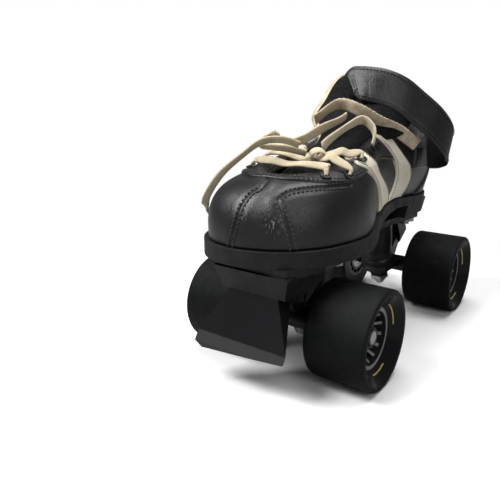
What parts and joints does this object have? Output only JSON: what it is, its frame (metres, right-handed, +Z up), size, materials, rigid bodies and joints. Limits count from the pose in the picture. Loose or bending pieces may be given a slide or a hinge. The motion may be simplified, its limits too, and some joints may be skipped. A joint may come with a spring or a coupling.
{
  "type": "roller skate",
  "caption": "Quad roller skate for a left foot: low laced black boot with cream side stripes and an ankle strap on a nylon plate with sprung trucks, wheels and a toe stop.",
  "frame": {"origin": "On the floor in the middle of the skate: halfway between the outer faces of the wheels and between the toe stop's front and the heel's back.", "axes": "+Z up from the floor; toe towards -Y, heel towards +Y; +X is the outer side of the foot, the side with the strap's root, which the picture shows."},
  "size_m": [0.132, 0.2463, 0.196],
  "materials": {
    "black_vinyl": "smooth fine-grain black vinyl, slightly glossy",
    "cream_vinyl": "cream-white vinyl with stitched edges",
    "sole_rubber": "matt black rubber",
    "insole_fibre": "pressed fibre board",
    "tongue_mesh": "black fuzzy padded mesh",
    "lace_cotton": "woven flat cotton, cream, a little soiled",
    "plate_nylon": "black moulded nylon",
    "stop_rubber": "glossy moulded black rubber, worn matt at the end",
    "cushion_rubber": "black rubber",
    "wheel_urethane": "matt black urethane",
    "hub_nylon": "grey moulded nylon",
    "steel": "zinc-plated steel",
    "black_metal": "black coated metal"
  },
  "bodies": {
    "boot": {"boot_upper": "black_vinyl", "outsole": "sole_rubber", "heel_block": "sole_rubber", "insole_board": "insole_fibre", "tongue": "tongue_mesh", "side_stripes": "cream_vinyl", "eyestays": "black_vinyl", "eyelets": "black_metal", "heel_counter": "black_vinyl", "collar_pad": "tongue_mesh", "strap_tab": "black_vinyl", "lace_bars": "lace_cotton", "lace_knot": "lace_cotton", "lace_loop": "lace_cotton", "lace_curl": "lace_cotton", "lace_arch": "lace_cotton", "lace_strand": "lace_cotton", "lace_tail": "lace_cotton", "plate": "plate_nylon", "mount_bolts": "steel", "mount_nuts": "steel", "toe_stop": "stop_rubber", "toe_stop_bolt": "steel", "front_kingpin": "steel", "front_cushion_upper": "cushion_rubber", "front_cushion_lower": "cushion_rubber", "front_cups": "steel", "front_kingpin_nut": "steel", "front_pivot_cup": "plate_nylon", "rear_kingpin": "steel", "rear_cushion_upper": "cushion_rubber", "rear_cushion_lower": "cushion_rubber", "rear_cups": "steel", "rear_kingpin_nut": "steel", "rear_pivot_cup": "plate_nylon"},
    "strap": {"strap": "black_vinyl", "strap_hook_patch": "tongue_mesh"},
    "front_truck": {"front_hanger": "black_metal", "front_axle": "steel", "front_spacers": "steel", "front_inner_races": "steel", "front_axle_nuts": "steel"},
    "rear_truck": {"rear_hanger": "black_metal", "rear_axle": "steel", "rear_spacers": "steel", "rear_inner_races": "steel", "rear_axle_nuts": "steel"},
    "front_left_wheel": {"front_left_tyre": "wheel_urethane", "front_left_hub": "hub_nylon", "front_left_bearings": "steel"},
    "front_right_wheel": {"front_right_tyre": "wheel_urethane", "front_right_hub": "hub_nylon", "front_right_bearings": "steel"},
    "rear_left_wheel": {"rear_left_tyre": "wheel_urethane", "rear_left_hub": "hub_nylon", "rear_left_bearings": "steel"},
    "rear_right_wheel": {"rear_right_tyre": "wheel_urethane", "rear_right_hub": "hub_nylon", "rear_right_bearings": "steel"}
  },
  "joints": [
    {"name": "front_steer", "type": "hinge", "parent": "boot", "child": "front_truck", "pos_m": [0, -0.0505, 0.034], "axis": [0, -0.8488, 0.5287], "range_deg": [-7, 7], "stiffness_Nm_per_rad": 6, "deforming": ["front_cushion_upper", "front_cushion_lower"]},
    {"name": "front_left_spin", "type": "hinge", "parent": "front_truck", "child": "front_left_wheel", "pos_m": [0.04625, -0.0675, 0.031], "axis": [1, 0, 0], "continuous": true},
    {"name": "front_right_spin", "type": "hinge", "parent": "front_truck", "child": "front_right_wheel", "pos_m": [-0.04625, -0.0675, 0.031], "axis": [1, 0, 0], "continuous": true},
    {"name": "rear_steer", "type": "hinge", "parent": "boot", "child": "rear_truck", "pos_m": [0, 0.0685, 0.034], "axis": [0, 0.8488, 0.5287], "range_deg": [-7, 7], "stiffness_Nm_per_rad": 6, "deforming": ["rear_cushion_upper", "rear_cushion_lower"]},
    {"name": "rear_left_spin", "type": "hinge", "parent": "rear_truck", "child": "rear_left_wheel", "pos_m": [0.04625, 0.0855, 0.031], "axis": [1, 0, 0], "continuous": true},
    {"name": "rear_right_spin", "type": "hinge", "parent": "rear_truck", "child": "rear_right_wheel", "pos_m": [-0.04625, 0.0855, 0.031], "axis": [1, 0, 0], "continuous": true},
    {"name": "strap_swing", "type": "hinge", "parent": "boot", "child": "strap", "pos_m": [0.038, 0.068, 0.131], "axis": [0, 0, 1], "range_deg": [0, 45]}
  ]
}
